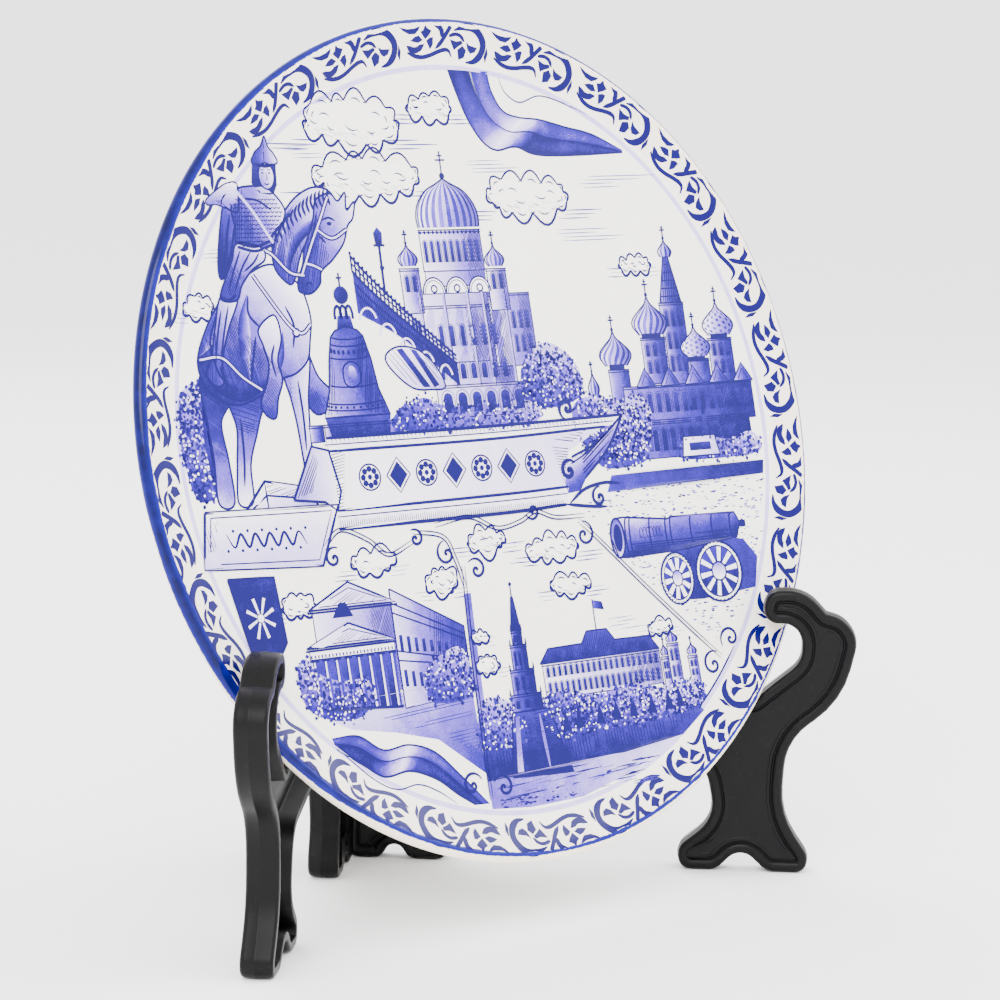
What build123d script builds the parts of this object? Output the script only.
from build123d import *
import os
from math import cos, radians, sin

os.makedirs("parts", exist_ok=True)

# Display plate on a folding two-wing easel. Millimetres, +Z up. The origin is on the ground,
# at the middle of the whole object's bounding box; the plate faces -Y and the easel's hinge is
# at the back, on the plane of symmetry X = 0.

# ---------------------------------------------------------------- driving dimensions
PLATE_R = 100.0  # a 200 mm plate
LIP_R = 1.8  # half the thickness of its rounded lip
PRINT_R = 88.4  # where the sloping border meets the flat well
WELL_DEPTH = 2.8  # depth of that line below the front of the lip
CENTRE_DEPTH = 3.6
BACK_DEPTH = 7.7  # how far the back of the well is behind the front of the lip
FOOT_RING_R = 52.0
FOOT_RING_WIDTH = 4.0
FOOT_RING_DEPTH = 10.2
PLATE_TILT = 14.4  # degrees back from upright
PLATE_Z = 112.8  # height of the centre of the lip circle
PLATE_AHEAD = 54.5  # how far that centre is in front of the hinge axis

HALF_ANGLE = 46.0  # degrees between each wing and the plane of symmetry when open
HINGE_Y = 39.59
THICK = 7.6  # thickness of a wing
GAP = 0.2  # from the hinge axis to the inner face of each wing
HEEL = 2.2  # how far a wing reaches behind the hinge axis
HEEL_GAP = 0.12  # from the plane of symmetry to each heel's stop face

WALL = 2.4  # wall around the hollow side of a wing
HOLLOW_DEPTH = 4.4
HINGE_BLOCK = 9.5  # solid plastic beside the hinge, measured from the axis
SOLID_FOOT = 17.0  # the rear foot is solid up to here, and up to the height below
SOLID_FOOT_HEIGHT = 9.0

PIN_R = 1.5
PIN_CLEARANCE = 0.05
PIN_HEAD_R = 2.7
PIN_HEAD = 1.2
HEAD_ROOM = 8.0  # height of the open pocket for each head of the pin
BARREL_R = 4.4
BARREL_CLEARANCE = 0.5  # between a barrel and the other wing
HINGE_BOTTOM = 22.0
HINGE_TOP = 64.0
KNUCKLES = 5
KNUCKLE_GAP = 0.2  # height left free between two knuckles
SEAT_GAP = 0.35  # between the plate's lip and the hook around it
SEAT_DEPTH = 5.0  # how deep that room is, from in front of the lip to behind it


# ---------------------------------------------------------------- the plate's own frame
def plate_plane():
    """Plane with its origin at the centre of the lip's front, X to the right, Z forwards."""
    tilt = radians(PLATE_TILT)
    centre = (0, HINGE_Y - PLATE_AHEAD, PLATE_Z)
    return Plane(origin=centre, x_dir=(1, 0, 0), z_dir=(0, -cos(tilt), sin(tilt)))


# ---------------------------------------------------------------- plate
# One glazed ceramic pressing: a flat well, a border that rises to a rounded lip, and a foot
# ring behind. The section is drawn on the plane that holds the plate's axis, then revolved.
def plate_section():
    lip = PLATE_R - LIP_R
    ring_out = FOOT_RING_R
    ring_in = FOOT_RING_R - FOOT_RING_WIDTH
    well = Spline((0, -CENTRE_DEPTH), (PRINT_R, -WELL_DEPTH), tangents=((1, 0), (1, 0.08)))
    border = Spline(well @ 1, (lip, 0), tangents=((1, 0.12), (1, 0.12)))
    edge = ThreePointArc(border @ 1, (PLATE_R, -LIP_R), (lip, -2 * LIP_R))
    under = Line(edge @ 1, (ring_out + 1.0, -BACK_DEPTH + 0.3))
    ring = FilletPolyline(
        under @ 1,
        (ring_out, -FOOT_RING_DEPTH),
        (ring_in, -FOOT_RING_DEPTH),
        (ring_in - 1.0, -BACK_DEPTH),
        (0, -BACK_DEPTH),
        radius=0.8,
    )
    Line(ring @ 1, (0, -CENTRE_DEPTH))


plate_frame = plate_plane()
section_plane = Plane(origin=plate_frame.origin, x_dir=plate_frame.x_dir, z_dir=-plate_frame.y_dir)

with BuildPart() as plate:
    with BuildSketch(section_plane):
        with BuildLine():
            plate_section()
        make_face()
    revolve(axis=Axis(plate_frame.origin, plate_frame.z_dir))


# ---------------------------------------------------------------- outline of a wing
# Both wings have one outline, drawn in the wing's own plane: distance from the hinge axis
# towards the front, height, and the radius that rounds the corner there.
REAR_FOOT = [
    (-HEEL, 0, 3.0),
    (6.8, 0, 2.6),
    (10.2, 5.6, 2.4),
    (13.8, 0, 3.4),
    (24.2, 0, 3.4),
    (24.2, 6.0, 2.6),
    (21.8, 13.0, 8.0),
]
ARCH = [(27.5, 32.2, 11.0), (58.0, 32.6, 60.0), (87.6, 27.4, 8.0), (90.4, 13.4, 9.0)]
FRONT_FOOT = [
    (80.9, 5.6, 4.4),
    (82.0, 0, 3.1),
    (91.2, 0, 5.0),
    (97.1, 6.0, 4.0),
    (103.6, 0, 5.0),
    (113.4, 0, 2.9),
    (114.2, 4.4, 4.4),
    (106.9, 15.0, 20.0),
]
HEAD = [(107.8, 33.6, 15.0), (121.4, 43.8, 23.0), (125.85, 63.6, 7.8), (116.8, 65.9, 0.8)]
HOOK = [(111.4, 71.8, 10.5), (101.6, 71.2, 4.2), (100.4, 62.6, 3.8), (110.7, 63.0, 4.8), (110.7, 53.6, 6.4)]
BACK_REST = [(96.8, 42.0, 3.0), (73.3, 94.4, 2.6), (67.0, 94.4, 2.8)]
SWEEP = [(64.6, 54.6, 24.0), (22.0, 51.6, 22.0), (7.0, 70.0, 6.0), (-HEEL, 70.0, 3.6)]


def wing_outline():
    corners = REAR_FOOT + ARCH + FRONT_FOOT + HEAD + HOOK + BACK_REST + SWEEP
    points = [(ahead, up) for ahead, up, _ in corners]
    FilletPolyline(*points, radius=[radius for _, _, radius in corners], close=True)


# ---------------------------------------------------------------- wings
def wing_plane(side):
    """Plane of a wing through the hinge axis: x forwards along the wing, y up. side is -1 or 1."""
    turn = radians(HALF_ANGLE)
    along = (side * sin(turn), -cos(turn), 0)
    across = (-cos(turn), -side * sin(turn), 0)
    return Plane(origin=(0, HINGE_Y, 0), x_dir=along, z_dir=across)


def knuckle_spans(parity):
    """Bottom and top of every second knuckle, starting with the lowest (0) or the next (1)."""
    pitch = (HINGE_TOP - HINGE_BOTTOM) / KNUCKLES
    return [(HINGE_BOTTOM + i * pitch, HINGE_BOTTOM + (i + 1) * pitch) for i in range(parity, KNUCKLES, 2)]


# Room for the plate: its disc, carried up in its own plane, with a gap in front of it. It trims
# the inner corner of each hook, and is not a piece of the object.
with BuildPart() as seat_room:
    with BuildSketch(plate_frame.offset(SEAT_GAP)):
        Circle(PLATE_R + SEAT_GAP)
        with Locations((0, PLATE_R)):
            Rectangle(2 * (PLATE_R + SEAT_GAP), 2 * PLATE_R)
    extrude(amount=-SEAT_DEPTH)


def make_wing(side, parity):
    plane = wing_plane(side)
    # both wings keep their smooth side to the left, so one lies ahead of its plane, one behind
    hollow = plane.offset(GAP if side < 0 else -GAP - THICK)
    with BuildPart() as wing:
        with BuildSketch(hollow):
            with BuildLine():
                wing_outline()
            make_face()
        extrude(amount=THICK)
        # hollow side, with solid plastic left beside the hinge
        with BuildSketch(hollow):
            with BuildLine():
                wing_outline()
            make_face()
            offset(amount=-WALL, mode=Mode.REPLACE)
            with Locations((HINGE_BLOCK - 50, 50)):
                Rectangle(100, 200, mode=Mode.SUBTRACT)
            with Locations((SOLID_FOOT - 50, 0)):
                Rectangle(100, 2 * SOLID_FOOT_HEIGHT, mode=Mode.SUBTRACT)
        extrude(amount=HOLLOW_DEPTH, mode=Mode.SUBTRACT)
        # heel stop: the heels meet on the plane of symmetry when the wings are open
        with BuildSketch(Plane.XY):
            with Locations((side * (HEEL_GAP - 20), HINGE_Y)):
                Rectangle(40, 40)
        extrude(amount=HINGE_TOP + 20, mode=Mode.SUBTRACT)
        # room for the other wing's knuckles, then this wing's own
        for low, high in knuckle_spans(1 - parity):
            with BuildSketch(Plane.XY.offset(low - KNUCKLE_GAP / 2)):
                with Locations((0, HINGE_Y)):
                    Circle(BARREL_R + BARREL_CLEARANCE)
            extrude(amount=high - low + KNUCKLE_GAP, mode=Mode.SUBTRACT)
        for low, high in knuckle_spans(parity):
            with BuildSketch(Plane.XY.offset(low + KNUCKLE_GAP / 2)):
                with Locations((0, HINGE_Y)):
                    Circle(BARREL_R)
            extrude(amount=high - low - KNUCKLE_GAP)
        # bore for the pin through the knuckles, wider above and below them
        with BuildSketch(Plane.XY.offset(HINGE_BOTTOM)):
            with Locations((0, HINGE_Y)):
                Circle(PIN_R + PIN_CLEARANCE)
        extrude(amount=HINGE_TOP - HINGE_BOTTOM, mode=Mode.SUBTRACT)
        for bottom in (HINGE_BOTTOM - HEAD_ROOM, HINGE_TOP):
            with BuildSketch(Plane.XY.offset(bottom)):
                with Locations((0, HINGE_Y)):
                    Circle(PIN_HEAD_R + BARREL_CLEARANCE)
            extrude(amount=HEAD_ROOM, mode=Mode.SUBTRACT)
        add(seat_room.part, mode=Mode.SUBTRACT)
    return wing


left_wing = make_wing(-1, 0)
right_wing = make_wing(1, 1)

# ---------------------------------------------------------------- hinge pin
# Steel pin through all the knuckles, headed at both ends so that it can't drop out.
with BuildPart() as hinge_pin:
    with BuildSketch(Plane.XY.offset(HINGE_BOTTOM - KNUCKLE_GAP)):
        with Locations((0, HINGE_Y)):
            Circle(PIN_R)
    extrude(amount=HINGE_TOP - HINGE_BOTTOM + 2 * KNUCKLE_GAP)
    for bottom in (HINGE_BOTTOM - KNUCKLE_GAP / 2 - PIN_HEAD, HINGE_TOP + KNUCKLE_GAP / 2):
        with BuildSketch(Plane.XY.offset(bottom)):
            with Locations((0, HINGE_Y)):
                Circle(PIN_HEAD_R)
        extrude(amount=PIN_HEAD)

# ---------------------------------------------------------------- export
plate.part.label = "plate"
export_step(plate.part, "parts/plate.step")
left_wing.part.label = "left_wing"
export_step(left_wing.part, "parts/left_wing.step")
right_wing.part.label = "right_wing"
export_step(right_wing.part, "parts/right_wing.step")
hinge_pin.part.label = "hinge_pin"
export_step(hinge_pin.part, "parts/hinge_pin.step")
